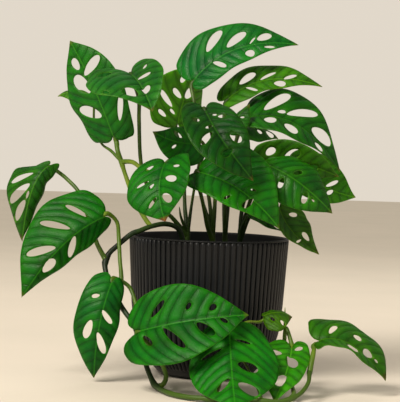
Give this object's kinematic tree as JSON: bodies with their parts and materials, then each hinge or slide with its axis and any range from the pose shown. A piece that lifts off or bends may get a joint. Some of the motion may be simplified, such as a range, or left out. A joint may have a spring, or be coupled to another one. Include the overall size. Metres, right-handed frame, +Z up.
{
  "type": "potted monstera adansonii plant",
  "caption": "Young swiss cheese vine with heart-shaped leaves cut by oval holes, bushy above a ribbed round pot and trailing over its rim down to the ground.",
  "frame": {"origin": "centre of the pot's flat foot, on the surface it stands on", "axes": "+Z up along the pot's axis, -Y towards the viewer of the picture, +X to the viewer's right"},
  "size_m": [0.324, 0.2481, 0.3093],
  "materials": {
    "pot": "matte black moulded plastic with fine upright ribs",
    "soil": "damp dark brown potting soil, crumbly",
    "leaf": "living leaf, deep green with a soft waxy gloss",
    "fresh_leaf": "living leaf, bright green with a soft waxy gloss",
    "young_leaf": "young living leaf, yellow-green and satin",
    "vine": "living stem, very dark green, satin",
    "stem": "living leaf stalks, olive green, satin"
  },
  "bodies": {
    "root": {"pot": "pot", "soil": "soil", "leaf_hanging_far_left": "leaf", "leaf_hanging_left_large": "fresh_leaf", "leaf_hanging_left_low": "leaf", "leaf_front_large": "fresh_leaf", "leaf_front_resting": "fresh_leaf", "leaf_front_small": "fresh_leaf", "leaf_far_right_low": "fresh_leaf", "leaf_front_young": "young_leaf", "leaf_upper_left_tall": "leaf", "leaf_upper_left_young": "young_leaf", "leaf_upper_left_forward": "leaf", "leaf_upper_back": "leaf", "leaf_top": "leaf", "leaf_upper_right": "fresh_leaf", "leaf_right_large": "leaf", "leaf_right_back": "leaf", "leaf_right_inner": "leaf", "leaf_right_lower": "leaf", "leaf_centre_front": "leaf", "leaf_centre_back": "leaf", "leaf_centre_left": "leaf", "leaf_left_front": "leaf", "leaf_right_front_wide": "leaf", "leaf_right_rim": "leaf", "leaf_right_rim_small": "leaf", "leaf_right_edge_on": "leaf", "trailing_vine": "vine", "stem_left": "stem", "stem_centre": "stem", "stem_right": "stem", "stem_far_right": "stem"}
  },
  "joints": []
}
